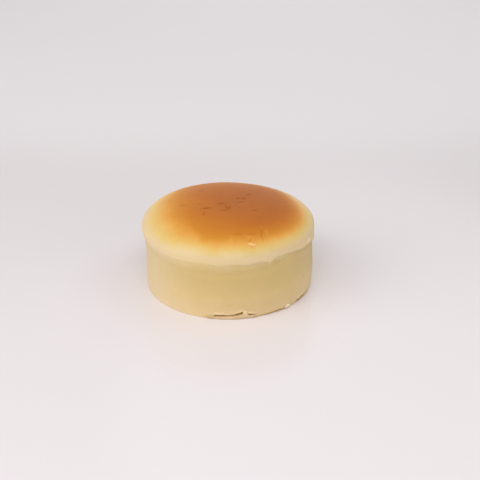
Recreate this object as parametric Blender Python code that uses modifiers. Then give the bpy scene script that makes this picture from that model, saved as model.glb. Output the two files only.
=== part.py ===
"""A whole jiggly cheesecake: one soft solid with a straight wall, a swollen lip and a domed top.

It stands on z = 0 with its axis on Z and its front towards -Y. Run it in Blender 4.5, in metres.
"""

import math

import bpy

# Driving dimensions: a cake from a 150 mm round tin that rose above its rim and then sank back a little.
WALL_RADIUS = 0.0746  # the straight wall
LIP_RADIUS = 0.0766  # the widest ring, where the top swells past the wall
LIP_HEIGHT = 0.0550  # height of that ring, where the dome starts
CROWN_HEIGHT = 0.0752  # the middle of the domed top
EDGE_RADIUS = 0.0028  # soft lower edge

# The dome is the curve (r / LIP_RADIUS) ** DOME_FLATNESS + (h / rise) ** SHOULDER_ROUNDNESS = 1.
DOME_FLATNESS = 2.6
SHOULDER_ROUNDNESS = 2.25

# The swollen band under the dome: hardly there at the front, and a broad one on the right.
BAND_DEPTH = 0.0115
BAND_AZIMUTH = math.radians(105)
BAND_WIDTH = math.radians(50)
SOFT_UNDERSIDE = 0.0130  # the swelling runs back into the wall over this height on the left
SHARP_UNDERSIDE = 0.0030  # and over this height on the right, where it is a ledge
SHARP_AZIMUTH = math.radians(80)
SHARP_WIDTH = math.radians(55)

# Unevenness of a cake that was turned out by hand.
CAP_SHIFT = 0.0011  # the top sits this much to the left of the base
SHIFT_START = 0.0270  # the wall starts to lean at this height
CROWN_SLOPE = 0.012  # the whole cake sank a little more on the right
BELLY = 0.0009  # the wall bulges out by this much near its foot
BELLY_HEIGHT = 0.0170
BELLY_SPREAD = 0.0100
SHOULDER_PUSH = 0.0011  # the shoulder is fuller on the right by this much
SHOULDER_HEIGHT = 0.0610
SHOULDER_SPREAD = 0.0050
SHOULDER_AZIMUTH = math.radians(90)
SHOULDER_WIDTH = math.radians(60)
WAVE = 0.0003  # the wall is out of round by this much
WAVE_COUNT = 3  # waves round the cake
WAVE_TWIST = 60.0  # radians a metre: the waves lean as they climb

TURNS = 96
DOME_RINGS = 15
BAND_RINGS = 14
WALL_RINGS = 5
EDGE_RINGS = 4
BAND_FOOT = 0.0340  # rings are closer together above this height

MERGE_DISTANCE = 0.00001
CREASE_ANGLE = math.radians(50)
CRUST_COLOUR = (0.68, 0.31, 0.07, 1.0)
CRUST_ROUGHNESS = 0.45


def bell(distance, width):
    """A smooth bump: 1 where distance is zero, falling away over width."""
    return math.exp(-((distance / width) ** 2))


def angle_between(first, second):
    """The difference of two azimuths, between -pi and pi."""
    return math.remainder(first - second, 2.0 * math.pi)


def smooth_step(value):
    """0 below zero, 1 above one, and an even S-curve between."""
    value = min(1.0, max(0.0, value))
    return value * value * (3.0 - 2.0 * value)


def profile():
    """Half of the cake's section at +X, from the crown down the outside to the middle of the base."""
    rise = CROWN_HEIGHT - LIP_HEIGHT
    points = [(0.0, CROWN_HEIGHT)]
    for ring in range(1, DOME_RINGS + 1):
        turn = 0.5 * math.pi * ring / DOME_RINGS
        radius = LIP_RADIUS * math.sin(turn) ** (2.0 / DOME_FLATNESS)
        height = LIP_HEIGHT + rise * max(0.0, math.cos(turn)) ** (2.0 / SHOULDER_ROUNDNESS)
        points.append((radius, height))
    for ring in range(1, BAND_RINGS + 1):
        points.append((WALL_RADIUS, LIP_HEIGHT + (BAND_FOOT - LIP_HEIGHT) * ring / BAND_RINGS))
    for ring in range(1, WALL_RINGS + 1):
        points.append((WALL_RADIUS, BAND_FOOT + (EDGE_RADIUS - BAND_FOOT) * ring / WALL_RINGS))
    for ring in range(1, EDGE_RINGS + 1):
        turn = 0.5 * math.pi * ring / EDGE_RINGS
        radius = WALL_RADIUS - EDGE_RADIUS * (1.0 - math.cos(turn))
        points.append((radius, EDGE_RADIUS * (1.0 - math.sin(turn))))
    points.append((0.0, 0.0))
    return points


def turned_mesh(name, points):
    """A closed mesh made by turning the section about Z."""
    section = bpy.data.meshes.new(name + "_section")
    vertices = [(radius, 0.0, height) for radius, height in points]
    edges = [(index, index + 1) for index in range(len(points) - 1)]
    section.from_pydata(vertices, edges, [])
    blank = bpy.data.objects.new(name + "_blank", section)
    bpy.context.scene.collection.objects.link(blank)
    screw = blank.modifiers.new("Turn", "SCREW")
    screw.axis = "Z"
    screw.angle = 2.0 * math.pi
    screw.steps = TURNS
    screw.render_steps = TURNS
    screw.use_merge_vertices = True
    screw.merge_threshold = MERGE_DISTANCE
    depsgraph = bpy.context.evaluated_depsgraph_get()
    mesh = bpy.data.meshes.new_from_object(blank.evaluated_get(depsgraph))
    mesh.name = name
    bpy.data.objects.remove(blank)
    bpy.data.meshes.remove(section)
    return mesh


def swelling(azimuth, height):
    """How far the swollen band stands out of the wall at a place under the lip."""
    band = BAND_DEPTH * bell(angle_between(azimuth, BAND_AZIMUTH), BAND_WIDTH)
    sharpness = bell(angle_between(azimuth, SHARP_AZIMUTH), SHARP_WIDTH)
    underside = SOFT_UNDERSIDE + (SHARP_UNDERSIDE - SOFT_UNDERSIDE) * sharpness
    below = LIP_HEIGHT - height - band
    return (LIP_RADIUS - WALL_RADIUS) * (1.0 - smooth_step(below / underside))


def settle(mesh):
    """Gives the turned form the band, belly, shift and waves of a real soft cake."""
    under_lip = LIP_HEIGHT - MERGE_DISTANCE
    for vertex in mesh.vertices:
        x, y, height = vertex.co
        radius = math.hypot(x, y)
        azimuth = math.atan2(x, -y)
        new_radius = radius
        if EDGE_RADIUS <= height < under_lip:
            new_radius += swelling(azimuth, height)
        on_wall = smooth_step(height / EDGE_RADIUS) * smooth_step((LIP_HEIGHT - height) / EDGE_RADIUS)
        new_radius += on_wall * BELLY * bell(height - BELLY_HEIGHT, BELLY_SPREAD)
        new_radius += on_wall * WAVE * math.sin(WAVE_COUNT * azimuth + WAVE_TWIST * height)
        fuller = bell(angle_between(azimuth, SHOULDER_AZIMUTH), SHOULDER_WIDTH)
        new_radius += SHOULDER_PUSH * fuller * bell(height - SHOULDER_HEIGHT, SHOULDER_SPREAD)
        shift = CAP_SHIFT * (1.0 - smooth_step((height - SHIFT_START) / (LIP_HEIGHT - SHIFT_START)))
        scale = new_radius / radius if radius > 0.0 else 1.0
        sunk = CROWN_SLOPE * x * height / CROWN_HEIGHT
        vertex.co = (x * scale + shift, y * scale, height - sunk)


def baked_crust():
    """The material of the whole cake: soft baked skin, golden brown on top."""
    material = bpy.data.materials.new("cake")
    material.use_nodes = True
    shader = material.node_tree.nodes["Principled BSDF"]
    shader.inputs["Base Color"].default_value = CRUST_COLOUR
    shader.inputs["Roughness"].default_value = CRUST_ROUGHNESS
    shader.inputs["Metallic"].default_value = 0.0
    return material


def cheesecake(collection):
    """The cake, as one closed solid."""
    mesh = turned_mesh("cheesecake", profile())
    settle(mesh)
    mesh.shade_smooth()
    mesh.set_sharp_from_angle(angle=CREASE_ANGLE)
    mesh.materials.append(baked_crust())
    cake = bpy.data.objects.new("cheesecake", mesh)
    collection.objects.link(cake)
    return cake


def main():
    for leftover in list(bpy.data.objects):
        bpy.data.objects.remove(leftover)
    collection = bpy.data.collections.new("jiggly_cheesecake")
    bpy.context.scene.collection.children.link(collection)
    cheesecake(collection)


main()
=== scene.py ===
"""The looks of the jiggly cheesecake: browned, wrinkled skin on top and a pale, tender wall.

One fine mesh stands for the whole cake, and a second one holds the bits of skin and crumb that stand
off it. Metres, +Z up, and the front of the cake faces -Y. An azimuth is 0 at the front and grows
towards +X. Tables of small places are in millimetres and degrees.
"""

import math

import bmesh
import bpy
import numpy as np
from mathutils import Matrix, Vector, noise
from mathutils.bvhtree import BVHTree


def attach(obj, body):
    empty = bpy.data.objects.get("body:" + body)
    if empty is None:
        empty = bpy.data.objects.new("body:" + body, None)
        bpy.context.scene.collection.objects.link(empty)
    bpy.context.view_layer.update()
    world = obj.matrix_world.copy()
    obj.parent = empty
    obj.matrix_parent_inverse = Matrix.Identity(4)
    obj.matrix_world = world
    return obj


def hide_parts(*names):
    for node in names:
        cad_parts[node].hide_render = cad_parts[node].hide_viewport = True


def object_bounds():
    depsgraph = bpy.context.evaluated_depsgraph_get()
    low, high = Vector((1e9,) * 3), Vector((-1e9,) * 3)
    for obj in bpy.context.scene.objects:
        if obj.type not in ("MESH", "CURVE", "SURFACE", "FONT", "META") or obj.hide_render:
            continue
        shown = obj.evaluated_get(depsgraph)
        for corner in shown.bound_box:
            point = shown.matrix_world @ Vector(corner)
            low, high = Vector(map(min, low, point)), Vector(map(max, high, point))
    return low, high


MM = 0.001
BODY = "root"
CAKE_NODE = "cheesecake"

# The form of the CAD solid, from the same driving dimensions.
WALL_RADIUS = 0.0746  # the straight wall
LIP_RADIUS = 0.0766  # the widest ring, where the top swells past the wall
LIP_HEIGHT = 0.0550  # height of that ring, where the dome starts
CROWN_HEIGHT = 0.0752  # the middle of the domed top
EDGE_RADIUS = 0.0028  # soft lower edge
# The dome is the curve (r / LIP_RADIUS) ** DOME_FLATNESS + (h / rise) ** SHOULDER_ROUNDNESS = 1.
DOME_FLATNESS = 2.6
SHOULDER_ROUNDNESS = 2.25
# The swollen band under the dome, broad on the right.
BAND_DEPTH = 0.0115
BAND_AZIMUTH = math.radians(105)
BAND_WIDTH = math.radians(50)
SOFT_UNDERSIDE = 0.0130  # the swelling runs back into the wall over this height on the left
SHARP_UNDERSIDE = 0.0030  # and over this height on the right
SHARP_AZIMUTH = math.radians(80)
SHARP_WIDTH = math.radians(55)
CAP_SHIFT = 0.0011  # the top sits this much to the left of the base
SHIFT_START = 0.0270  # the wall starts to lean at this height
CROWN_SLOPE = 0.012  # the whole cake sank a little more on the right
BELLY = 0.0009  # the wall bulges out by this much near its foot
BELLY_HEIGHT = 0.0170
BELLY_SPREAD = 0.0100
SHOULDER_PUSH = 0.0011  # the shoulder is fuller on the right by this much
SHOULDER_HEIGHT = 0.0610
SHOULDER_SPREAD = 0.0050
SHOULDER_AZIMUTH = math.radians(90)
SHOULDER_WIDTH = math.radians(60)
WAVE = 0.0003  # the wall is out of round by this much
WAVE_COUNT = 3  # waves round the cake
WAVE_TWIST = 60.0  # radians a metre: the waves lean as they climb

# The rings and columns of the fine mesh.
TURNS = 440
FRONT_DENSITY = 0.35  # columns are this much closer together at the front
CURVE_SAMPLES = 4000  # the dome's curve is measured along this many points
MIDDLE_REACH = 0.0400  # the wrinkled middle of the dome has closer rings
MIDDLE_STEP = 0.00055
DOME_STEP = 0.00095
BAND_FOOT = 0.0340  # from here up the rings are close together, for the ledge
BAND_RINGS = 42
WALL_RINGS = 22
FOOT_TOP = 0.0080  # and from here down, for the tear
FOOT_RINGS = 17
EDGE_RINGS = 8
BASE_RINGS = 5

# The ledge under the swollen band. It wanders by these: azimuth, spread, drop.
LEDGE_DIPS = (
    (0.0, 45.0, 1.3),
    (-6.0, 5.0, 1.1),
    (-38.0, 10.0, 0.8),
    (13.0, 9.0, 0.7),
    (18.5, 3.5, -0.6),
    (27.5, 2.8, 1.6),
    (32.3, 2.6, -1.9),
    (39.0, 5.0, -1.4),
    (46.0, 9.0, -1.6),
    (57.0, 7.0, 0.5),
    (66.0, 14.0, -1.7),
)
LEDGE_RAGGED = 0.0006
LEDGE_RAGGED_BLOB = 0.0042
# The share of the swelling that ends in a crisp ledge is most of it on the right: azimuth, spread, share.
LEDGE_CRISPNESS = ((80.0, 50.0, 0.85), (0.0, 42.0, 0.12))
CRISP_UNDERSIDE = 0.0032  # that share runs back into the wall over this height
LEDGE_GROOVE = 0.0004  # a shallow groove lies under the crisp ledge
LEDGE_GROOVE_DROP = 0.0022
LEDGE_GROOVE_SPREAD = 0.0016
LEDGE_STEP = 0.19  # painted shade: the wall is this much further down its colours just under a crisp ledge
LEDGE_STEP_HEIGHT = 0.0028
# The swollen band is brighter than the wall here: azimuth, spread, share.
BRIGHT_BAND = ((20.0, 24.0, 0.80), (64.0, 22.0, 0.75))
BRIGHT_BAND_TOP = 0.0015  # up the dome from the lip

# Relief of the skin: how high its unevenness is, and how big its blobs are.
DOME_SWELL = 0.00030
DOME_SWELL_BLOB = 0.028
DOME_RIPPLE = 0.00007
DOME_RIPPLE_BLOB = 0.007
WALL_SWELL = 0.00022
WALL_SWELL_BLOB = 0.020
WALL_GRAIN = 0.00004
WALL_GRAIN_BLOB = 0.0028
# The fine crinkles round the middle of the top, with painted shade in their valleys.
CRINKLE = 0.00008
CRINKLE_BLOB = 0.0055
CRINKLE_CENTRE = (0.006, -0.004)
CRINKLE_REACH = 0.026
CRINKLE_DARKNESS = 0.14
CRINKLE_NARROWNESS = 4.0
CRINKLE_GATE_BLOB = 0.022  # they come and go in patches of this size
CRINKLE_GATE_SLOPE = 2.0
CRINKLE_GATE_LEVEL = 0.4
# Each noise field has a seed of its own.
DOME_SWELL_SEED = 1.0
DOME_RIPPLE_SEED = 2.0
WALL_SWELL_SEED = 3.0
WALL_GRAIN_SEED = 4.0
LEDGE_SEED = 5.0
TEAR_SEED = 9.0
CRINKLE_SEED = 21.0
CRINKLE_GATE_SEED = 22.0
BLOTCH_SEED = 31.0
FLECK_SEED = 32.0
PATCH_SEED = 33.0

# Wrinkles of the top: x, y, length, heading, width, depth, darkness. The darkness is painted shade in the
# fold, darker and browner. Headings are from +X.
WRINKLES = (
    (-18.4, -11.2, 7.5, 8.0, 2.7, 0.16, 0.80),
    (-20.6, -22.0, 6.0, 84.0, 1.8, 0.12, 0.55),
    (-24.5, 30.2, 4.5, -10.0, 2.4, 0.12, 0.51),
    (-24.2, -1.5, 5.0, -8.0, 2.4, 0.10, 0.41),
    (-39.5, -1.4, 5.0, -15.0, 2.6, 0.10, 0.45),
    (-5.6, -2.1, 7.5, 18.0, 3.8, 0.12, 0.50),
    (-0.7, -10.4, 5.0, -62.0, 1.6, 0.14, 0.80),
    (1.6, -10.3, 5.0, 66.0, 1.6, 0.14, 0.75),
    (-3.0, -15.9, 6.5, 0.0, 2.6, 0.10, 0.50),
    (9.4, -8.9, 6.0, -67.0, 1.6, 0.12, 0.43),
    (9.4, 9.7, 3.2, 5.0, 2.4, 0.14, 0.85),
    (14.1, 9.8, 4.2, 0.0, 2.4, 0.14, 0.75),
    (12.2, 1.4, 6.5, 3.0, 2.2, 0.12, 0.55),
    (18.5, 19.8, 6.0, 5.0, 2.6, 0.12, 0.55),
    (23.4, -15.5, 5.5, 7.0, 1.8, 0.12, 0.50),
    (8.1, -54.6, 6.3, 2.0, 1.9, 0.10, 0.40),
    (19.7, -53.6, 7.0, 3.0, 1.9, 0.10, 0.42),
    (18.6, -60.8, 4.0, 80.0, 1.2, 0.12, 0.50),
    (19.9, -67.4, 4.0, -12.0, 1.2, 0.12, 0.34),
    (27.9, -53.0, 12.5, 92.0, 1.3, 0.10, 0.42),
)
WRINKLE_BEND = 0.02  # how far a wrinkle bows, for each millimetre of its length squared
RIDGE_SHARE = 0.45  # the skin beside a wrinkle is pushed up by this share of its depth
COLOUR_SPREAD = 0.6  # the colour of a mark fades out over this share of its width

# Rubbed, paler spots of the top: x, y, length, heading, width, paleness.
RUBBED = (
    (9.0, -8.0, 3.5, 60.0, 1.8, 0.10),
    (13.5, 4.2, 7.0, 3.0, 1.4, 0.10),
    (15.0, -1.4, 8.0, 3.0, 1.6, 0.09),
    (32.3, -48.2, 5.0, 88.0, 1.5, 0.28),
    (28.6, -43.2, 2.2, 0.0, 2.0, 0.12),
    (18.0, -57.8, 7.0, 5.0, 4.0, 0.18),
    (11.5, -69.0, 9.0, 0.0, 3.0, 0.16),
)

# Small pits of the wall: azimuth, height, width, height across, depth. Each is painted darker the deeper it
# is, a painted shade.
PITS = (
    (-0.1, 14.2, 4.6, 2.2, 0.12),
    (59.5, 21.7, 1.5, 1.9, 0.26),
    (55.5, 27.2, 1.2, 1.5, 0.22),
    (69.0, 22.3, 1.4, 1.8, 0.24),
    (118.0, 17.0, 1.4, 1.8, 0.22),
    (163.0, 31.0, 1.2, 1.5, 0.18),
    (-142.0, 12.0, 1.5, 1.9, 0.24),
)
PIT_DARKNESS = 1.1  # for each millimetre of a pit's depth
# Notches of the wall, in the same way, with painted shade in them too.
NOTCHES = ((72.6, 45.8, 4.0, 1.4, 0.7), (69.2, 47.2, 4.6, 0.9, 0.4))
NOTCH_DARKNESS = 0.75  # for each millimetre of a notch's depth

# The torn foot at the front: azimuth, the heights of its upper and lower edge, and the shares of
# the pale rim over it and of the painted shade in its gap.
TEAR = (
    (-11.2, 1.9, 1.9, 0.0, 0.0),
    (-10.6, 3.3, 2.2, 0.9, 0.8),
    (-9.4, 4.1, 2.6, 0.9, 1.0),
    (-4.0, 4.1, 2.7, 0.65, 0.95),
    (-1.5, 4.1, 2.8, 0.30, 0.70),
    (1.5, 4.5, 2.8, 0.30, 0.70),
    (4.4, 5.6, 3.3, 0.8, 0.8),
    (7.5, 6.7, 4.1, 0.8, 0.9),
    (9.0, 6.6, 4.4, 0.3, 0.9),
    (9.5, 3.6, 3.2, 0.0, 0.0),
    (11.6, 3.3, 2.8, 0.0, 0.0),
    (12.2, 4.2, 2.9, 0.9, 0.8),
    (15.0, 4.0, 3.0, 0.9, 0.8),
    (16.0, 3.1, 2.5, 0.5, 0.6),
    (19.0, 2.3, 2.3, 0.0, 0.0),
)
TEAR_DEPTH = 0.0013  # the gap is pressed in by this much
TEAR_LIP = 0.0005  # and the rim over it stands out by this much
TEAR_RAGGED = 0.00035
TEAR_RAGGED_BLOB = 0.0016
TEAR_OPENING = 0.0005  # a gap narrower than this fades out
TEAR_EDGE = 0.0004  # the gap's edges are this soft
TEAR_RIM = 0.0010  # the rim's middle is this far over the gap
RIM_PALENESS = 0.60
TEAR_MIDDLE = math.radians(1.5)  # the bare strip lies this far round
TEAR_HALF_WIDTH = math.radians(17.5)
TEAR_RUN_OUT = math.radians(2.0)
UNDERSIDE_FLARE = 0.0006  # the bare strip under the tear stands out by this much

# Where the foot is undercut, with a thin dark line at the plate: azimuth, spread, share.
UNDERCUTS = ((31.0, 9.0, 0.25), (96.0, 12.0, 0.4), (-128.0, 10.0, 0.6), (172.0, 9.0, 0.5))
UNDERCUT_DEPTH = 0.0014
UNDERCUT_HEIGHT = 0.0011
FOOT_ROUNDING = 0.0004  # elsewhere the lower edge is rounded off by this much

# Painted shadow lines along the foot, under its edge and where it meets the plate: azimuth, spread, height,
# thickness, share. The second table is redder.
FOOT_LINES = (
    (-13.6, 3.8, 1.5, 2.2, 0.50),
    (27.0, 5.0, 1.2, 0.8, 0.8),
    (34.5, 3.8, 1.4, 1.0, 1.0),
    (39.4, 1.0, 1.8, 1.2, 0.9),
)
RED_FOOT_LINES = (
    (17.5, 2.4, 1.4, 0.6, 0.4),
    (52.5, 2.6, 1.9, 1.1, 1.0),
    (57.5, 3.0, 2.4, 1.2, 1.0),
    (65.0, 5.0, 2.4, 0.9, 0.6),
)
FOOT_LINE_SPREAD = 0.7  # a line fades out over this share of its thickness

# Bits of pale skin that hang under the ledge: azimuth, height, width, height across, paleness.
LEDGE_BITS = (
    (27.2, 50.6, 2.4, 4.0, 0.80),
    (33.0, 52.0, 4.6, 2.4, 0.50),
    (37.0, 51.4, 5.0, 3.4, 0.50),
    (40.0, 52.6, 3.4, 2.6, 0.60),
)
BIT_RELIEF = 0.00025
# And where the foot is painted paler, a painted bounce light from the plate, in the same way.
FOOT_BOUNCE_LIGHT = ((70.0, 11.0, 40.0, 20.0, 0.5),)

# The wall is tucked in low on the left.
TUCK = 0.0010
TUCK_AZIMUTH = math.radians(-95)
TUCK_WIDTH = math.radians(55)
TUCK_HEIGHT = 0.0150
TUCK_SPREAD = 0.0130

# The browning, by distance up the dome from its lip, in millimetres, with linear colours.
RIGHT_SKEW = 0.75  # the right is browned nearer the edge
LEFT_SKEW = 0.30  # and the left further from it
SKEW_FADE = 0.7  # less so towards the crown
SKEW_RISE = 0.031  # and near the lip
PALE_RIM = 0.0050  # the pale rim is wider at the sides
BACK_START = math.radians(95)  # behind here the pale rim narrows again
BACK_SPREAD = math.radians(60)
BACK_SHARE = 0.9
BACK_SKEW = 0.65  # and the top is browner there
RIGHT_DARKENING = 0.026  # the right of the top goes this much further along the browning colours, and is darker
RIGHT_DARKENING_AZIMUTH = math.radians(78)
RIGHT_DARKENING_WIDTH = math.radians(48)
RIGHT_DARKENING_RADIUS = 0.044
RIGHT_DARKENING_SPREAD = 0.012
BROWNING_REACH = 0.090
CRUST_STOPS = (
    (0.0, (0.79, 0.60, 0.345)),
    (3.5, (0.75, 0.57, 0.325)),
    (7.5, (0.71, 0.53, 0.235)),
    (10.0, (0.71, 0.50, 0.180)),
    (12.5, (0.71, 0.46, 0.142)),
    (16.0, (0.71, 0.400, 0.102)),
    (19.0, (0.70, 0.342, 0.070)),
    (23.5, (0.65, 0.278, 0.042)),
    (28.0, (0.60, 0.235, 0.028)),
    (33.0, (0.57, 0.205, 0.019)),
    (40.0, (0.53, 0.178, 0.013)),
    (54.0, (0.480, 0.143, 0.010)),
    (70.0, (0.440, 0.124, 0.010)),
    (90.0, (0.405, 0.112, 0.010)),
)
PATCH_EDGE = ((-62.0, -26.0), (-55.0, -22.5), (-48.5, -25.5), (-42.0, -30.0), (-23.0, -34.0))
PATCH_BROWNING = 0.0045  # the skin right of that line, given as (y, x) in millimetres, is browner
PATCH_SOFTNESS = 0.0060
PATCH_WOBBLE = 0.0025
PATCH_WOBBLE_BLOB = 0.008
PATCH_FADE = 0.030
PATCH_RIM = 0.0690  # the browner patch runs out towards this radius
PATCH_RIM_FADE = 0.0120
# Places that browned more or less: x, y, radius and change of browning, in millimetres.
BROWN_SPOTS = (
    (2.9, -58.5, 2.2, -4.5),
    (2.2, -62.5, 2.2, -3.5),
    (8.0, -60.5, 4.0, -1.5),
    (-12.0, -52.0, 9.0, 1.5),
    (14.0, -48.0, 8.0, 1.5),
    (40.0, -48.0, 7.0, 1.0),
    (-45.0, -42.0, 13.0, 1.3),
    (33.0, 13.0, 20.0, 12.0),
    (61.0, 26.0, 13.0, -2.5),
)
# Uneven browning all over the top.
BLOTCH = 0.0030
BLOTCH_BLOB = 0.024
FLECK = 0.0014
FLECK_BLOB = 0.006

# The wall's colours from its foot (0) to the lip (1). Lighter and less yellow at the foot, a painted bounce
# light from the plate, and lighter again from about 0.8 up to the lip, painted light that lifts the shade
# under the swollen band.
WALL_STOPS = (
    (0.0, (0.835, 0.630, 0.355)),
    (0.15, (0.825, 0.622, 0.325)),
    (0.23, (0.795, 0.597, 0.297)),
    (0.34, (0.765, 0.570, 0.270)),
    (0.48, (0.715, 0.533, 0.236)),
    (0.66, (0.695, 0.515, 0.220)),
    (0.80, (0.730, 0.541, 0.231)),
    (0.88, (0.781, 0.597, 0.277)),
    (0.96, (0.805, 0.617, 0.328)),
    (1.0, (0.81, 0.625, 0.345)),
)
WALL_TOP = 0.0020  # how far up the dome the wall's colours reach
WALL_FADE = 0.0070

# Linear colours of the painted shade in the creases, of the other kinds of skin and of the painted bounce
# light at the foot, of the painted shade in the gaps, and of bare crumb.
CREASE_SHADE = (0.66, 0.46, 0.12)
PALE_SKIN = (0.80, 0.49, 0.14)
CREAM_SKIN = (0.95, 0.74, 0.45)
BAND_SKIN_AND_BOUNCE_LIGHT = (0.90, 0.71, 0.42)
WHITE_CRUMB = (1.0, 0.86, 0.66)
GAP_COLOUR = (0.40, 0.25, 0.040)
RED_GAP_COLOUR = (0.30, 0.15, 0.080)
BARE_COLOUR = (0.74, 0.52, 0.31)
BARE_LIGHT = (0.84, 0.64, 0.44)
PEACH_SKIN = (0.88, 0.53, 0.23)
YELLOW_SKIN = (0.88, 0.64, 0.29)
# Colours of the loose bits by their tone, and the tint of their darker places.
TONES = ((0.0, PEACH_SKIN), (0.3, YELLOW_SKIN), (0.6, CREAM_SKIN), (1.0, WHITE_CRUMB))
LOOSE_SHADE = (0.96, 0.92, 0.86)
BLANCHED_SKIN = (0.77, 0.62, 0.40)
# The wall is paler and less yellow at its sides: azimuth, reach and fade in degrees, and share.
BLANCHED = ((-95.0, 80.0, 55.0, 0.65), (100.0, 75.0, 55.0, 0.35))
# The top's rim is paler and peachier here: azimuth and spread in degrees, and share.
PEACH_RIM = ((116.0, 30.0, 0.46), (-104.0, 32.0, 0.22))
PEACH_RIM_CLIMB = 0.0140  # this far up the dome
PEACH_RIM_SPREAD = 0.0080
PEACH_RIM_SKIN = (0.86, 0.61, 0.35)
WALL_STREAK = (0.90, 0.84, 0.74)
BARE_STOPS = ((0.35, BARE_COLOUR), (0.70, BARE_LIGHT))

# Noise in the materials: its blobs a metre, and its detail.
MOTTLE = (90.0, 4.0)
SPECKLE = (650.0, 3.0)
STREAKS = (120.0, 3.0)
FOLDS = (260.0, 4.0)
PORES = (1500.0, 2.0)
CRUMB = (240.0, 4.0)
LOOSE_CRUMB = (700.0, 4.0)
STREAK_STRETCH = (1.0, 1.0, 0.22)  # streaks run up the wall
STREAK_SHARE = (-0.02, 0.22)
SPECKLE_BROWNING = 0.030  # speckles change the browning by this much
MOTTLE_RISE = 0.18  # mottles move the wall's colours up and down by this much
MOTTLE_ROUGHNESS = 0.10
LOOSE_SHADE_SHARE = (-0.5, 1.5)
# Bumps: their real height, and their strength.
FOLD_BUMP = (0.00035, 0.30)
PORE_BUMP = (0.00012, 0.25)
LOOSE_BUMP = (0.00015, 0.30)

CRUST_ROUGHNESS = 0.42
WALL_ROUGHNESS = 0.58
LOOSE_ROUGHNESS = (0.65, 0.85)
SKIN_SHINE = 0.12
SUBSURFACE = 0.12  # the share of light that goes into the skin
SUBSURFACE_COLOURS = (1.0, 0.6, 0.3)  # red light goes deepest
SKIN_DEPTH = 0.0035

# Bits of skin and crumb on the top: x, y, length, width, thickness, heading, curl, tone.
# The tone goes from browned skin (0) by yellow (0.3) and cream skin (0.6) to white crumb (1).
TOP_FLAKES = (
    (20.1, -65.1, 6.2, 1.9, 0.55, 0.0, 0.3, 0.04),
    (18.6, -64.7, 3.0, 2.3, 0.65, -4.0, 0.2, 0.12),
)
# And on the wall: azimuth, height, length, width, thickness, heading, curl, tone.
WALL_FLAKES = (
    (65.2, 53.6, 3.4, 2.6, 1.8, 20.0, 0.1, 0.92),
    (61.5, 51.0, 2.4, 1.4, 0.8, 30.0, 0.2, 0.45),
    (10.9, 5.5, 4.6, 4.6, 1.2, 78.0, 0.0, 0.52),
    (14.6, 5.4, 3.6, 1.3, 0.6, -14.0, 0.3, 0.52),
    (42.5, 2.0, 6.6, 3.2, 2.2, -16.0, 0.0, 0.86),
    (41.6, 1.2, 6.4, 1.8, 2.4, -10.0, 0.0, 0.62),
    (53.0, 4.4, 3.6, 2.6, 1.2, 20.0, 0.1, 0.60),
    (57.5, 5.0, 3.0, 1.9, 0.9, 15.0, 0.1, 0.66),
    (61.0, 5.4, 2.4, 1.6, 0.8, 30.0, 0.1, 0.50),
)
FLAKE_DETAIL = 3
FLAKE_RAGGED = 0.35  # a bit is out of round by this share
FLAKE_LUMPS = 3.0  # about this many lumps along it

# The view and the stage.
CAMERA_DISTANCE = 0.900
CAMERA_PITCH = math.radians(28.3)
CAMERA_AIM = (0.0108, 0.0, 0.0384)
CAMERA_ROLL = math.radians(-0.335)
CAMERA_LENS = 73.6
CAMERA_SENSOR = 36.0
CAMERA_NEAR = 0.01
CAMERA_FAR = 50.0
FLOOR_SIZE = 12.0
FLOOR_DROP = 0.00004
FLOOR_COLOUR = (0.765, 0.712, 0.725)
FLOOR_ROUGHNESS = 0.18
WORLD_COLOUR = (1.0, 1.0, 1.0)
WORLD_STRENGTH = 0.36
# White lights: name, azimuth, elevation and distance from the cake, width and height, watts.
LIGHTS = (
    ("left", -68.0, 34.0, 1.5, (1.4, 1.4), 10.7),
    ("front", -5.0, 58.0, 1.5, (1.2, 1.2), 9.8),
    ("right", 50.0, 25.0, 1.5, (1.0, 1.0), 2.0),
    ("above_right", 90.0, 55.0, 1.5, (0.9, 0.9), 2.9),
    ("back", 165.0, 40.0, 1.5, (1.2, 1.2), 1.8),
    ("behind", 180.0, 9.0, 1.8, (2.6, 0.5), 2.4),
)
LIGHT_TARGET = (0.0, 0.0, 0.035)


def bell(distance, width):
    """A smooth bump: 1 where distance is zero, falling away over width."""
    return np.exp(-((distance / width) ** 2))


def angle_between(first, second):
    """The difference of two azimuths, between -pi and pi."""
    return (first - second + math.pi) % (2.0 * math.pi) - math.pi


def smooth_step(value):
    """0 below zero, 1 above one, and an even S-curve between."""
    value = np.clip(value, 0.0, 1.0)
    return value * value * (3.0 - 2.0 * value)


def soft_edge(distance, softness):
    """0 before a line and 1 past it, with an even S-curve across it; softness is its width."""
    return smooth_step(distance / softness + 0.5)


def noise_field(points, blob, seed):
    """Smooth noise, roughly between -1 and 1, at each point; blob is the size of its blobs."""
    start = Vector((seed, 2.0 * seed, 3.0 * seed))
    flat = points.reshape(-1, 3)
    values = [noise.noise(Vector(point) / blob + start) for point in flat]
    return np.array(values).reshape(points.shape[:-1])


def rim_points(azimuth):
    """Points round the cake at the wall's radius, for noise that only changes with azimuth."""
    return WALL_RADIUS * np.stack((np.sin(azimuth), -np.cos(azimuth), 0.0 * azimuth), axis=-1)


def bells_round(azimuth, places):
    """The sum of bells round the cake, from rows of (azimuth, spread, height) in degrees."""
    total = 0.0 * azimuth
    for place, spread, height in places:
        total = total + height * bell(angle_between(azimuth, math.radians(place)), math.radians(spread))
    return total


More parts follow.
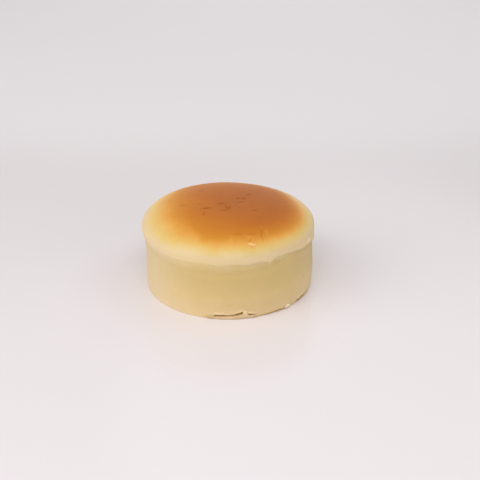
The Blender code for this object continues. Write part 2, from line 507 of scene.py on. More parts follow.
def dome_rings():
    """Radius, height and climb of the dome's rings, from the crown out to the lip."""
    rise = CROWN_HEIGHT - LIP_HEIGHT
    turn = np.linspace(0.0, 0.5 * math.pi, CURVE_SAMPLES)
    radius = LIP_RADIUS * np.sin(turn) ** (2.0 / DOME_FLATNESS)
    height = LIP_HEIGHT + rise * np.clip(np.cos(turn), 0.0, 1.0) ** (2.0 / SHOULDER_ROUNDNESS)
    arc = np.concatenate(([0.0], np.cumsum(np.hypot(np.diff(radius), np.diff(height)))))
    middle = np.arange(MIDDLE_STEP, MIDDLE_REACH, MIDDLE_STEP)
    outer_rings = round((arc[-1] - MIDDLE_REACH) / DOME_STEP)
    outer = np.linspace(MIDDLE_REACH, arc[-1], outer_rings + 1)
    places = np.concatenate((middle, outer))
    return np.interp(places, arc, radius), np.interp(places, arc, height), arc[-1] - places


def section():
    """Radius, height and climb of every ring, from the crown down the outside to the middle of the base.

    The climb is the way up the dome from its lip, and it is negative below the lip.
    """
    dome_radius, dome_height, dome_climb = dome_rings()
    band = np.linspace(LIP_HEIGHT, BAND_FOOT, BAND_RINGS + 1)[1:]
    wall = np.linspace(BAND_FOOT, FOOT_TOP, WALL_RINGS + 1)[1:]
    foot = np.linspace(FOOT_TOP, EDGE_RADIUS, FOOT_RINGS + 1)[1:]
    straight = np.concatenate((band, wall, foot))
    turn = np.linspace(0.0, 0.5 * math.pi, EDGE_RINGS + 1)[1:]
    base_radius = np.linspace(WALL_RADIUS - EDGE_RADIUS, 0.0, BASE_RINGS + 2)[1:-1]
    radius = np.concatenate((
        dome_radius,
        np.full(len(straight), WALL_RADIUS),
        WALL_RADIUS - EDGE_RADIUS * (1.0 - np.cos(turn)),
        base_radius,
    ))
    below = np.concatenate((straight, EDGE_RADIUS * (1.0 - np.sin(turn)), np.zeros(BASE_RINGS)))
    height = np.concatenate((dome_height, below))
    climb = np.concatenate((dome_climb, below - LIP_HEIGHT))
    return radius, height, climb


def ledge_drop(azimuth):
    """How far under the lip the swollen band's lower edge lies."""
    band = BAND_DEPTH * bell(angle_between(azimuth, BAND_AZIMUTH), BAND_WIDTH)
    ragged = LEDGE_RAGGED * noise_field(rim_points(azimuth), LEDGE_RAGGED_BLOB, LEDGE_SEED)
    return band + MM * bells_round(azimuth, LEDGE_DIPS) + ragged


def ledge_crispness(azimuth):
    """The share of the swelling that ends in a crisp ledge."""
    return bells_round(azimuth, LEDGE_CRISPNESS)


def swelling(azimuth, height):
    """How far the swollen band stands out of the wall at a place under the lip."""
    sharpness = bell(angle_between(azimuth, SHARP_AZIMUTH), SHARP_WIDTH)
    underside = SOFT_UNDERSIDE + (SHARP_UNDERSIDE - SOFT_UNDERSIDE) * sharpness
    below = LIP_HEIGHT - height - ledge_drop(azimuth)
    crispness = ledge_crispness(azimuth)
    fall = crispness * smooth_step(below / CRISP_UNDERSIDE)
    fall = fall + (1.0 - crispness) * smooth_step(below / underside)
    groove = LEDGE_GROOVE * crispness * bell(below - LEDGE_GROOVE_DROP, LEDGE_GROOVE_SPREAD)
    return (LIP_RADIUS - WALL_RADIUS) * (1.0 - fall) - groove


def tear_edges(azimuth):
    """The torn gap's upper and lower edge, and the shares of its pale rim and of the painted shade in it."""
    places = np.radians([row[0] for row in TEAR])
    upper = np.interp(azimuth, places, [MM * row[1] for row in TEAR])
    lower = np.interp(azimuth, places, [MM * row[2] for row in TEAR])
    ragged = TEAR_RAGGED * noise_field(rim_points(azimuth), TEAR_RAGGED_BLOB, TEAR_SEED)
    openness = smooth_step((upper - lower) / TEAR_OPENING)
    rim = openness * np.interp(azimuth, places, [row[3] for row in TEAR])
    gap = openness * np.interp(azimuth, places, [row[4] for row in TEAR])
    return upper + ragged * openness, lower, rim, gap


def undercut_radius(azimuth, radius, height):
    """The lower edge's radius where the foot hangs over the plate instead of rounding off."""
    share = np.clip(bells_round(azimuth, UNDERCUTS), 0.0, 1.0)
    radius = WALL_RADIUS - (WALL_RADIUS - radius) * FOOT_ROUNDING / EDGE_RADIUS
    hanging = WALL_RADIUS - UNDERCUT_DEPTH * (1.0 - smooth_step(height / UNDERCUT_HEIGHT))
    return radius + share * (hanging - radius)


class CakeGrid:
    """The rings and columns of the fine mesh: places of its points, and what is painted on them."""

    def __init__(self):
        radius, height, climb = section()
        turn = 2.0 * math.pi * np.arange(TURNS) / TURNS - math.pi
        azimuth = turn - FRONT_DENSITY * np.sin(turn)
        shape = (len(radius), TURNS)
        self.azimuth = np.broadcast_to(azimuth, shape)
        self.radius = np.broadcast_to(radius[:, None], shape)
        self.height = np.broadcast_to(height[:, None], shape)
        self.climb = np.broadcast_to(climb[:, None], shape)
        self.on_dome = self.climb >= 0.0
        self.on_base = (self.height <= 0.0) & (self.radius < WALL_RADIUS - 2.0 * EDGE_RADIUS)
        self.points = self.settled()

    def settled(self):
        """The CAD solid's form, with a crisper ledge and the foot's undercuts."""
        azimuth, height = self.azimuth, self.height
        on_wall = ~self.on_dome & (height >= EDGE_RADIUS)
        on_edge = (height < EDGE_RADIUS) & ~self.on_base
        radius = self.radius + np.where(on_wall, swelling(azimuth[0], height), 0.0)
        radius = np.where(on_edge, undercut_radius(azimuth, radius, height), radius)
        between = smooth_step(height / EDGE_RADIUS) * smooth_step((LIP_HEIGHT - height) / EDGE_RADIUS)
        radius = radius + between * BELLY * bell(height - BELLY_HEIGHT, BELLY_SPREAD)
        radius = radius + between * WAVE * np.sin(WAVE_COUNT * azimuth + WAVE_TWIST * height)
        tucked = bell(angle_between(azimuth, TUCK_AZIMUTH), TUCK_WIDTH)
        tucked = tucked * bell(height - TUCK_HEIGHT, TUCK_SPREAD)
        radius = radius - between * TUCK * tucked
        fuller = bell(angle_between(azimuth, SHOULDER_AZIMUTH), SHOULDER_WIDTH)
        radius = radius + SHOULDER_PUSH * fuller * bell(height - SHOULDER_HEIGHT, SHOULDER_SPREAD)
        shift = CAP_SHIFT * (1.0 - smooth_step((height - SHIFT_START) / (LIP_HEIGHT - SHIFT_START)))
        sunk = CROWN_SLOPE * self.radius * np.sin(azimuth) * height / CROWN_HEIGHT
        return np.stack((radius * np.sin(azimuth) + shift, -radius * np.cos(azimuth), height - sunk), axis=-1)

    def normals(self):
        """Outward normals of the points."""
        down = np.gradient(self.points, axis=0)
        around = np.roll(self.points, -1, axis=1) - np.roll(self.points, 1, axis=1)
        normal = np.cross(down, around)
        return normal / np.linalg.norm(normal, axis=-1, keepdims=True)


def mark_frame(grid, place_x, place_y, heading):
    """Distances along and across a mark on the top, in millimetres."""
    x = grid.points[..., 0] / MM - place_x
    y = grid.points[..., 1] / MM - place_y
    turn = math.radians(heading)
    return x * math.cos(turn) + y * math.sin(turn), y * math.cos(turn) - x * math.sin(turn)


def wrinkle_marks(grid):
    """Relief of the top's wrinkles, and their darkness: painted shade in the folds."""
    relief = np.zeros(grid.climb.shape)
    darkness = np.zeros(grid.climb.shape)
    for x, y, length, heading, width, depth, dark in WRINKLES:
        along, across = mark_frame(grid, x, y, heading)
        across = across + WRINKLE_BEND * along**2
        taper = bell(along, 0.5 * length)
        groove = bell(across, 0.5 * width) * taper
        ridge = bell(np.abs(across) - width, 0.5 * width) * taper
        relief = relief + MM * depth * (RIDGE_SHARE * ridge - groove)
        darkness = np.maximum(darkness, dark * bell(across, COLOUR_SPREAD * width) * taper)
    return relief * grid.on_dome, darkness * grid.on_dome


def crinkle_marks(grid):
    """Relief of the fine crinkles round the middle of the top, and their painted shade."""
    x = grid.points[..., 0] - CRINKLE_CENTRE[0]
    y = grid.points[..., 1] - CRINKLE_CENTRE[1]
    reach = bell(np.hypot(x, y), CRINKLE_REACH) * grid.on_dome
    fold = np.abs(noise_field(grid.points, CRINKLE_BLOB, CRINKLE_SEED))
    valley = np.clip(1.0 - CRINKLE_NARROWNESS * fold, 0.0, 1.0)
    patches = noise_field(grid.points, CRINKLE_GATE_BLOB, CRINKLE_GATE_SEED)
    gate = smooth_step(CRINKLE_GATE_SLOPE * patches + CRINKLE_GATE_LEVEL)
    return -CRINKLE * reach * gate * valley, CRINKLE_DARKNESS * reach * gate * valley


def rubbed_marks(grid):
    """Paleness of the places where the browned skin is rubbed."""
    paleness = np.zeros(grid.climb.shape)
    for x, y, length, heading, width, pale in RUBBED:
        along, across = mark_frame(grid, x, y, heading)
        mark = bell(across, COLOUR_SPREAD * width) * bell(along, 0.5 * length)
        paleness = np.maximum(paleness, pale * mark)
    return paleness * grid.on_dome


def wall_spot(grid, azimuth, height, width, across):
    """A soft spot on the wall, 1 in its middle; across is its height."""
    aside = WALL_RADIUS * angle_between(grid.azimuth, math.radians(azimuth))
    return bell(aside, 0.5 * MM * width) * bell(grid.height - MM * height, 0.5 * MM * across)


def wall_dents(grid, places, darkness_per_mm):
    """Relief and painted shade of the dents of the wall, from a table of places."""
    relief = np.zeros(grid.climb.shape)
    darkness = np.zeros(grid.climb.shape)
    for azimuth, height, width, across, depth in places:
        dent = wall_spot(grid, azimuth, height, width, across)
        relief = relief - MM * depth * dent
        darkness = np.maximum(darkness, darkness_per_mm * depth * dent)
    return relief * ~grid.on_dome, darkness * ~grid.on_dome


def pale_places(grid, places):
    """Paleness of the wall, from a table of places."""
    paleness = np.zeros(grid.climb.shape)
    for azimuth, height, width, across, pale in places:
        paleness = np.maximum(paleness, pale * wall_spot(grid, azimuth, height, width, across))
    return paleness


def foot_lines(grid, places):
    """Painted shadow lines along the foot, for one table of places."""
    total = np.zeros(grid.climb.shape)
    for azimuth, spread, height, thickness, share in places:
        along = bell(angle_between(grid.azimuth, math.radians(azimuth)), math.radians(spread))
        total = total + share * along * bell(grid.height - MM * height, FOOT_LINE_SPREAD * MM * thickness)
    return np.clip(total, 0.0, 1.0) * ~grid.on_base


def ledge_rise(grid):
    """The way up the wall, from 0 at the foot to 1 at the ledge; it jumps down just under a crisp ledge, to
    paint shade there.
    """
    azimuth = grid.azimuth[0]
    ledge = LIP_HEIGHT - ledge_drop(azimuth)
    under = soft_edge(ledge - grid.height, LEDGE_STEP_HEIGHT)
    return np.clip(grid.height / ledge, 0.0, 1.0) * (1.0 - LEDGE_STEP * ledge_crispness(azimuth) * under)


def bright_band(grid):
    """Brightness of the swollen band, from the ledge up to the lip."""
    azimuth = grid.azimuth[0]
    over = soft_edge(grid.height - LIP_HEIGHT + ledge_drop(azimuth), LEDGE_STEP_HEIGHT)
    under = soft_edge(BRIGHT_BAND_TOP - grid.climb, WALL_FADE)
    return np.clip(bells_round(azimuth, BRIGHT_BAND), 0.0, 1.0) * over * under


def tear_marks(grid):
    """Relief, painted shade in the gap, bare strip and pale rim of the torn foot at the front."""
    upper, lower, rim_share, gap_share = tear_edges(grid.azimuth[0])
    height = grid.height
    under_rim = soft_edge(upper - height, TEAR_EDGE)
    over_strip = soft_edge(height - lower, TEAR_EDGE)
    gap = gap_share * under_rim * over_strip * ~grid.on_base
    aside = angle_between(grid.azimuth, TEAR_MIDDLE)
    torn = smooth_step((aside + TEAR_HALF_WIDTH) / TEAR_RUN_OUT)
    torn = torn * smooth_step((TEAR_HALF_WIDTH - aside) / TEAR_RUN_OUT)
    bare = torn * (1.0 - over_strip) * ~grid.on_base
    rim = rim_share * bell(height - upper - TEAR_RIM, TEAR_RIM)
    relief = TEAR_LIP * rim - TEAR_DEPTH * gap + UNDERSIDE_FLARE * bare
    return relief, gap, bare, rim


def browner_patch(grid):
    """The browner patch right of a soft, wandering line, from 0 to 1."""
    patch_y = [MM * row[0] for row in PATCH_EDGE]
    patch_x = [MM * row[1] for row in PATCH_EDGE]
    x, y = grid.points[..., 0], grid.points[..., 1]
    wobble = PATCH_WOBBLE * noise_field(grid.points, PATCH_WOBBLE_BLOB, PATCH_SEED)
    inside = x - np.interp(y, patch_y, patch_x) + wobble
    patch = soft_edge(inside, PATCH_SOFTNESS) * bell(np.clip(inside, 0.0, None), PATCH_FADE)
    patch = patch * smooth_step((PATCH_RIM - grid.radius) / PATCH_RIM_FADE)
    return patch * smooth_step((patch_y[-1] + PATCH_FADE - y) / PATCH_FADE)


def brown_spots(grid):
    """Change of browning at the places listed for it."""
    total = np.zeros(grid.climb.shape)
    for spot_x, spot_y, radius, change in BROWN_SPOTS:
        far = np.hypot(grid.points[..., 0] - MM * spot_x, grid.points[..., 1] - MM * spot_y)
        total = total + MM * change * bell(far, MM * radius)
    return total


def browning(grid):
    """How far the skin has browned, from 0 at the pale lip to 1."""
    side = np.sin(grid.azimuth)
    outward = np.clip(grid.radius / LIP_RADIUS, 0.0, 1.0)
    turned = np.abs(angle_between(grid.azimuth, 0.0))
    behind = smooth_step((turned - BACK_START) / BACK_SPREAD)
    fore = 1.0 - BACK_SHARE * behind
    skew = side * np.where(side > 0.0, RIGHT_SKEW, LEFT_SKEW * fore) + BACK_SKEW * behind
    skew = skew * smooth_step(grid.climb / SKEW_RISE) * outward**SKEW_FADE
    rim = PALE_RIM * (1.0 - np.cos(grid.azimuth)) * outward * fore
    right_darkening = bell(angle_between(grid.azimuth, RIGHT_DARKENING_AZIMUTH), RIGHT_DARKENING_WIDTH)
    right_darkening = right_darkening * bell(grid.radius - RIGHT_DARKENING_RADIUS, RIGHT_DARKENING_SPREAD)
    blotches = BLOTCH * noise_field(grid.points, BLOTCH_BLOB, BLOTCH_SEED)
    flecks = FLECK * noise_field(grid.points, FLECK_BLOB, FLECK_SEED)
    uneven = PATCH_BROWNING * browner_patch(grid) + RIGHT_DARKENING * right_darkening
    uneven = uneven + brown_spots(grid) + blotches + flecks
    depth = np.clip(grid.climb - rim, 0.0, None) * (1.0 + skew) + smooth_step(grid.climb / WALL_FADE) * uneven
    return np.clip(depth / BROWNING_REACH, 0.0, 1.0)


def blanched(grid):
    """The share of the paler, less yellow skin at the sides of the wall."""
    total = np.zeros(grid.climb.shape)
    for azimuth, reach, fade, share in BLANCHED:
        away = np.abs(angle_between(grid.azimuth, math.radians(azimuth)))
        total = total + share * smooth_step((math.radians(reach) - away) / math.radians(fade))
    return total


def peach_rim(grid):
    """The share of the peachier skin near the rim of the top."""
    return bells_round(grid.azimuth, PEACH_RIM) * bell(grid.climb - PEACH_RIM_CLIMB, PEACH_RIM_SPREAD)


def skin_relief(grid):
    """The gentle unevenness of the soft skin."""
    swell = noise_field(grid.points, DOME_SWELL_BLOB, DOME_SWELL_SEED)
    ripple = noise_field(grid.points, DOME_RIPPLE_BLOB, DOME_RIPPLE_SEED)
    sway = noise_field(grid.points, WALL_SWELL_BLOB, WALL_SWELL_SEED)
    grain = noise_field(grid.points, WALL_GRAIN_BLOB, WALL_GRAIN_SEED)
    top = DOME_SWELL * swell + DOME_RIPPLE * ripple
    side = WALL_SWELL * sway + WALL_GRAIN * grain
    share = smooth_step((grid.climb + WALL_FADE) / (2.0 * WALL_FADE))
    off_base = smooth_step(grid.height / EDGE_RADIUS)
    return (share * top + (1.0 - share) * side) * off_base


def painted_relief(grid):
    """Presses the relief into the grid, and returns what is painted on it by name."""
    wrinkles, dark_wrinkles = wrinkle_marks(grid)
    crinkles, dark_crinkles = crinkle_marks(grid)
    pits, dark_pits = wall_dents(grid, PITS, PIT_DARKNESS)
    notches, dark_notches = wall_dents(grid, NOTCHES, NOTCH_DARKNESS)
    tear, gap, bare, rim = tear_marks(grid)
    pale_bits = pale_places(grid, LEDGE_BITS)
    # pale: the pale bits of skin under the ledge, and the painted bounce light on the foot.
    pale = np.maximum(pale_bits, pale_places(grid, FOOT_BOUNCE_LIGHT))
    paint = {
        "browning": browning(grid),
        "wall": soft_edge(WALL_TOP - grid.climb, WALL_FADE),
        # rise also jumps down under a crisp ledge: painted shade.
        "rise": ledge_rise(grid),
        "blanched": blanched(grid),
        "peach": peach_rim(grid),
        # crease: painted shade in the wrinkles, crinkles and pits.
        "crease": np.clip(dark_wrinkles + dark_crinkles + dark_pits, 0.0, 1.0),
        "pale": rubbed_marks(grid),
        "cream": np.clip(RIM_PALENESS * rim, 0.0, 1.0),
        # band: the brighter swollen band, the pale bits of skin, and the painted bounce light on the foot.
        "band": np.maximum(bright_band(grid), pale),
        # gap and red_gap: painted shade in the torn gap, the notches and along the foot.
        "gap": np.clip(gap + foot_lines(grid, FOOT_LINES) + dark_notches, 0.0, 1.0),
        "red_gap": foot_lines(grid, RED_FOOT_LINES),
        "bare": np.maximum(bare, grid.on_base),
    }
    relief = skin_relief(grid) + wrinkles + crinkles + pits + tear + notches + BIT_RELIEF * pale_bits
    grid.points = grid.points + grid.normals() * (relief * ~grid.on_base)[..., None]
    return paint


def grid_mesh(grid, paint, box):
    """The closed mesh of the grid, kept inside box, with one point at the crown and one under the base."""
    rings = grid.points.shape[0]
    crown = len(grid.points.reshape(-1, 3))
    foot = crown + 1
    crown_place = grid.points[0].mean(axis=0)
    foot_place = (CAP_SHIFT, 0.0, 0.0)
    points = np.concatenate((grid.points.reshape(-1, 3), [crown_place, foot_place]))
    low, high = np.array(box)
    points = np.clip(points, low, high)
    here = np.arange(rings * TURNS).reshape(rings, TURNS)
    beside = np.roll(here, -1, axis=1)
    quads = np.stack((here[:-1], here[1:], beside[1:], beside[:-1]), axis=-1).reshape(-1, 4)
    top = [(crown, here[0, turn], beside[0, turn]) for turn in range(TURNS)]
    bottom = [(foot, beside[-1, turn], here[-1, turn]) for turn in range(TURNS)]
    mesh = bpy.data.meshes.new("cake")
    mesh.from_pydata(points.tolist(), [], quads.tolist() + top + bottom)
    for name, values in paint.items():
        layer = mesh.attributes.new(name, "FLOAT", "POINT")
        ends = (values[0].mean(), values[-1].mean())
        layer.data.foreach_set("value", np.concatenate((values.ravel(), ends)).astype(np.float32))
    mesh.shade_smooth()
    mesh.validate()
    return mesh


def new_material(name):
    """An empty node material with its shader, and the points of the object to texture it by."""
    material = bpy.data.materials.new(name)
    material.use_nodes = True
    tree = material.node_tree
    shader = tree.nodes["Principled BSDF"]
    place = tree.nodes.new("ShaderNodeTexCoord").outputs["Object"]
    return material, tree, shader, place


def painted(tree, name):
    """What is painted on the mesh under that name."""
    node = tree.nodes.new("ShaderNodeAttribute")
    node.attribute_name = name
    return node.outputs["Fac"]


def clouds(tree, place, pattern, stretch=(1.0, 1.0, 1.0)):
    """Noise from 0 to 1; pattern is its blobs a metre and its detail."""
    scale, detail = pattern
    mapping = tree.nodes.new("ShaderNodeMapping")
    mapping.inputs["Scale"].default_value = stretch
    tree.links.new(place, mapping.inputs["Vector"])
    node = tree.nodes.new("ShaderNodeTexNoise")
    node.inputs["Scale"].default_value = scale
    node.inputs["Detail"].default_value = detail
    tree.links.new(mapping.outputs["Vector"], node.inputs["Vector"])
    return node.outputs["Fac"]


def sum_of(tree, first, second, share):
    """first + share * (second - 0.5)."""
    node = tree.nodes.new("ShaderNodeMath")
    node.operation = "MULTIPLY_ADD"
    tree.links.new(second, node.inputs[0])
    node.inputs[1].default_value = share
    shifted = tree.nodes.new("ShaderNodeMath")
    shifted.operation = "SUBTRACT"
    tree.links.new(first, shifted.inputs[0])
    shifted.inputs[1].default_value = 0.5 * share
    tree.links.new(shifted.outputs["Value"], node.inputs[2])
    return node.outputs["Value"]


def colour_ramp(tree, amount, stops):
    """Colours by amount, from (place, colour) stops between 0 and 1."""
    node = tree.nodes.new("ShaderNodeValToRGB")
    ramp = node.color_ramp
    while len(ramp.elements) < len(stops):
        ramp.elements.new(0.5)
    for element, (place, colour) in zip(ramp.elements, stops):
        element.position = place
        element.color = (*colour, 1.0)
    tree.links.new(amount, node.inputs["Fac"])
    return node.outputs["Color"]


def blended(tree, amount, first, second, way="MIX"):
    """first, turned into second by amount. second is a socket or a colour."""
    node = tree.nodes.new("ShaderNodeMix")
    node.data_type = "RGBA"
    node.blend_type = way
    tree.links.new(amount, node.inputs["Factor"])
    tree.links.new(first, node.inputs["A"])
    if isinstance(second, tuple):
        node.inputs["B"].default_value = (*second, 1.0)
    else:
        tree.links.new(second, node.inputs["B"])
    return node.outputs["Result"]


def number_ramp(tree, amount, ends):
    """A number that goes from one end to the other as amount goes from 0 to 1."""
    node = tree.nodes.new("ShaderNodeMapRange")
    node.inputs["To Min"].default_value, node.inputs["To Max"].default_value = ends
    tree.links.new(amount, node.inputs["Value"])
    return node.outputs["Result"]


def bumped(tree, height, size, normal=None):
    """A normal roughened by height; size is the real height of the bumps and their strength."""
    node = tree.nodes.new("ShaderNodeBump")
    node.inputs["Distance"].default_value, node.inputs["Strength"].default_value = size
    tree.links.new(height, node.inputs["Height"])
    if normal is not None:
        tree.links.new(normal, node.inputs["Normal"])
    return node.outputs["Normal"]


def skin_shader(shader):
    """The numbers that all baked surfaces share."""
    shader.inputs["Metallic"].default_value = 0.0
    shader.inputs["Specular IOR Level"].default_value = SKIN_SHINE
    shader.inputs["Subsurface Weight"].default_value = SUBSURFACE
    shader.inputs["Subsurface Radius"].default_value = SUBSURFACE_COLOURS
    shader.inputs["Subsurface Scale"].default_value = SKIN_DEPTH


def baked_skin():
    """Browned skin on the dome, pale wall below, and the creases, rubs and tears painted on both."""
    material, tree, shader, place = new_material("baked_skin")
    mottle = clouds(tree, place, MOTTLE)
    speckle = clouds(tree, place, SPECKLE)
    streaks = clouds(tree, place, STREAKS, STREAK_STRETCH)
    brown = sum_of(tree, painted(tree, "browning"), speckle, SPECKLE_BROWNING)
    stops = [(climb * MM / BROWNING_REACH, colour) for climb, colour in CRUST_STOPS]
    crust = colour_ramp(tree, brown, stops)
    crust = blended(tree, painted(tree, "peach"), crust, PEACH_RIM_SKIN)
    rise = sum_of(tree, painted(tree, "rise"), mottle, MOTTLE_RISE)
    # The wall's colours, with their painted bounce light at the foot and painted light under the band.
    wall = colour_ramp(tree, rise, WALL_STOPS)
    wall = blended(tree, number_ramp(tree, streaks, STREAK_SHARE), wall, WALL_STREAK, "MULTIPLY")
    wall = blended(tree, painted(tree, "blanched"), wall, BLANCHED_SKIN)
    skin = blended(tree, painted(tree, "wall"), crust, wall)
    # The swollen band and pale bits of skin, and the painted bounce light on the foot.
    skin = blended(tree, painted(tree, "band"), skin, BAND_SKIN_AND_BOUNCE_LIGHT)
    # Painted shade in the wrinkles, crinkles and pits, darker and browner.
    skin = blended(tree, painted(tree, "crease"), skin, CREASE_SHADE, "MULTIPLY")
    skin = blended(tree, painted(tree, "pale"), skin, PALE_SKIN)
    skin = blended(tree, painted(tree, "cream"), skin, CREAM_SKIN)
    skin = blended(tree, painted(tree, "bare"), skin, bare_crumb(tree, place))
    # Painted shade in the torn gap, the notches and along the foot, redder in places.
    skin = blended(tree, painted(tree, "gap"), skin, GAP_COLOUR)
    skin = blended(tree, painted(tree, "red_gap"), skin, RED_GAP_COLOUR)
    tree.links.new(skin, shader.inputs["Base Color"])
    roughness = number_ramp(tree, painted(tree, "wall"), (CRUST_ROUGHNESS, WALL_ROUGHNESS))
    tree.links.new(sum_of(tree, roughness, mottle, MOTTLE_ROUGHNESS), shader.inputs["Roughness"])
    normal = bumped(tree, clouds(tree, place, FOLDS), FOLD_BUMP)
    normal = bumped(tree, clouds(tree, place, PORES), PORE_BUMP, normal)
    tree.links.new(normal, shader.inputs["Normal"])
    skin_shader(shader)
    shine = number_ramp(tree, painted(tree, "crease"), (SKIN_SHINE, 0.0))
    tree.links.new(shine, shader.inputs["Specular IOR Level"])
    return material


def bare_crumb(tree, place):
    """The tan underside of the cake, where no skin covers it."""
    return colour_ramp(tree, clouds(tree, place, CRUMB), BARE_STOPS)


def loose_skin():
    """Pale bits of torn skin and crumb."""
    material, tree, shader, place = new_material("loose_skin")
    patches = clouds(tree, place, LOOSE_CRUMB)
    kind = colour_ramp(tree, painted(tree, "tone"), TONES)
    colour = blended(tree, number_ramp(tree, patches, LOOSE_SHADE_SHARE), kind, LOOSE_SHADE, "MULTIPLY")
    tree.links.new(colour, shader.inputs["Base Color"])
    tree.links.new(number_ramp(tree, patches, LOOSE_ROUGHNESS), shader.inputs["Roughness"])
    tree.links.new(bumped(tree, patches, LOOSE_BUMP), shader.inputs["Normal"])
    skin_shader(shader)
    return material


def top_seat(surface, x, y, heading):
    """Where a bit on the top lies: its place on the cake, its long way and its outward way."""
    start = Vector((MM * x, MM * y, 2.0 * CROWN_HEIGHT))
    place, normal, _, _ = surface.ray_cast(start, Vector((0.0, 0.0, -1.0)))
    turn = math.radians(heading)
    return place, Vector((math.cos(turn), math.sin(turn), 0.0)), normal


def wall_seat(surface, azimuth, height, heading):
    """The same for a bit on the wall."""
    angle = math.radians(azimuth)
    outward = Vector((math.sin(angle), -math.cos(angle), 0.0))
    start = 2.0 * WALL_RADIUS * outward + Vector((0.0, 0.0, MM * height))
    place, normal, _, _ = surface.ray_cast(start, -outward)
    turn = math.radians(heading)
    around = Vector((math.cos(angle), math.sin(angle), 0.0))
    return place, around * math.cos(turn) + Vector((0.0, 0.0, math.sin(turn))), normal


def add_flake(target, seat, size, curl, tone):
    """Adds one ragged, slightly curled bit of skin, half sunk into the cake. Returns its points' tones."""
    place, long_way, normal = seat
    length, width, thickness = size
    cross_way = normal.cross(long_way).normalized()
    long_way = cross_way.cross(normal).normalized()
    made = bmesh.ops.create_icosphere(target, subdivisions=FLAKE_DETAIL, radius=0.5)
    for vertex in made["verts"]:
        shape = vertex.co.copy()
        ragged = 1.0 + FLAKE_RAGGED * noise.noise(FLAKE_LUMPS * shape + place / MM)
        along = MM * length * shape.x * ragged
        across = MM * width * shape.y * ragged
        lift = curl * MM * thickness * (2.0 * shape.x) ** 2
        up = MM * thickness * shape.z * ragged + lift
        vertex.co = place + along * long_way + across * cross_way + up * normal
    return [tone] * len(made["verts"])


def cake_piece(material, box):
    """The whole cake, which stands for the CAD solid and stays inside its box."""
    grid = CakeGrid()
    paint = painted_relief(grid)
    mesh = grid_mesh(grid, paint, box)
    mesh.materials.append(material)
    cake = bpy.data.objects.new("cake", mesh)
    bpy.context.scene.collection.objects.link(cake)
    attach(cake, BODY)
    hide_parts(CAKE_NODE)
    return cake


def skin_bits(cake, material):
    """The bits of skin and crumb that stand off the cake, as one piece."""
    points = [vertex.co for vertex in cake.data.vertices]
    faces = [tuple(face.vertices) for face in cake.data.polygons]
    surface = BVHTree.FromPolygons(points, faces)
    target = bmesh.new()
    tones = []
    for x, y, length, width, thickness, heading, curl, tone in TOP_FLAKES:
        seat = top_seat(surface, x, y, heading)
        tones += add_flake(target, seat, (length, width, thickness), curl, tone)
    for azimuth, height, length, width, thickness, heading, curl, tone in WALL_FLAKES:
        seat = wall_seat(surface, azimuth, height, heading)
        tones += add_flake(target, seat, (length, width, thickness), curl, tone)
    mesh = bpy.data.meshes.new("skin_bits")
    target.to_mesh(mesh)
    target.free()
    mesh.attributes.new("tone", "FLOAT", "POINT").data.foreach_set("value", tones)
    mesh.shade_smooth()
    mesh.materials.append(material)
    bits = bpy.data.objects.new("skin_bits", mesh)
    bpy.context.scene.collection.objects.link(bits)
    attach(bits, BODY)
    return bits


def pale_floor():
    """A plain pale floor just under the cake."""
    material, _, shader, _ = new_material("floor")
    shader.inputs["Base Color"].default_value = (*FLOOR_COLOUR, 1.0)
    shader.inputs["Roughness"].default_value = FLOOR_ROUGHNESS
    half = 0.5 * FLOOR_SIZE
    corners = [(-half, -half, 0.0), (half, -half, 0.0), (half, half, 0.0), (-half, half, 0.0)]
    mesh = bpy.data.meshes.new("floor")
    mesh.from_pydata(corners, [], [(0, 1, 2, 3)])
    mesh.materials.append(material)
    floor = bpy.data.objects.new("floor", mesh)
    floor.location = (0.0, 0.0, -FLOOR_DROP)
    bpy.context.scene.collection.objects.link(floor)


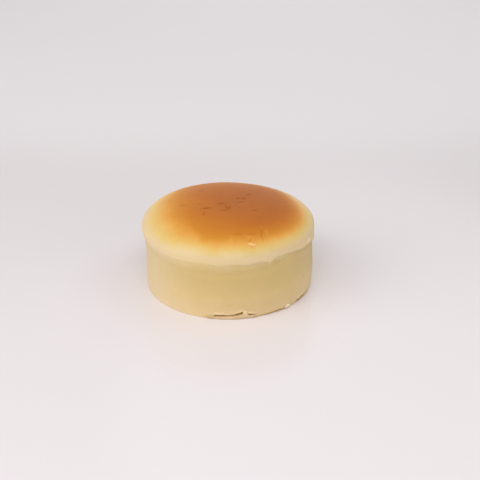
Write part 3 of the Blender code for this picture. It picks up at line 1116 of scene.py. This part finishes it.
def aimed_at(place, target, roll=0.0):
    """The transform of a light or camera at place that looks at target."""
    way = Vector(target) - Vector(place)
    turn = way.to_track_quat("-Z", "Y").to_matrix().to_4x4()
    return Matrix.Translation(place) @ turn @ Matrix.Rotation(roll, 4, "Z")


def soft_lights():
    """Big soft lights and an even white surround."""
    for name, azimuth, elevation, distance, size, watts in LIGHTS:
        light = bpy.data.lights.new(name, "AREA")
        light.shape = "ELLIPSE"
        light.size, light.size_y = size
        light.energy = watts
        lamp = bpy.data.objects.new(name, light)
        angle, rise = math.radians(azimuth), math.radians(elevation)
        way = Vector((math.sin(angle) * math.cos(rise), -math.cos(angle) * math.cos(rise), math.sin(rise)))
        lamp.matrix_world = aimed_at(Vector(LIGHT_TARGET) + distance * way, LIGHT_TARGET)
        bpy.context.scene.collection.objects.link(lamp)
    world = bpy.data.worlds.new("surround")
    world.use_nodes = True
    background = world.node_tree.nodes["Background"]
    background.inputs["Color"].default_value = (*WORLD_COLOUR, 1.0)
    background.inputs["Strength"].default_value = WORLD_STRENGTH
    bpy.context.scene.world = world


def camera():
    """The view from the front, and from above by the pitch."""
    data = bpy.data.cameras.new("camera")
    data.sensor_width = CAMERA_SENSOR
    data.lens = CAMERA_LENS
    data.clip_start = CAMERA_NEAR
    data.clip_end = CAMERA_FAR
    eye = bpy.data.objects.new("camera", data)
    place = (0.0, -CAMERA_DISTANCE * math.cos(CAMERA_PITCH), CAMERA_DISTANCE * math.sin(CAMERA_PITCH))
    eye.matrix_world = aimed_at(place, CAMERA_AIM, CAMERA_ROLL)
    bpy.context.scene.collection.objects.link(eye)
    bpy.context.scene.camera = eye


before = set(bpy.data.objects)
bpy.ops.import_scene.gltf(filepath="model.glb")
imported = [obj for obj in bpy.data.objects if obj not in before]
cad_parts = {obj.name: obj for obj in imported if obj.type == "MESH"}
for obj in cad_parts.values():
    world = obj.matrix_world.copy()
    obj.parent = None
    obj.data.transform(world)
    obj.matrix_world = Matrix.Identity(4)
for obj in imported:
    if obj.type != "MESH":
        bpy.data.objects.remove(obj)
cad_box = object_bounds()
bpy.context.scene.view_settings.view_transform = "Standard"
camera()
cake = cake_piece(baked_skin(), cad_box)
skin_bits(cake, loose_skin())
pale_floor()
soft_lights()
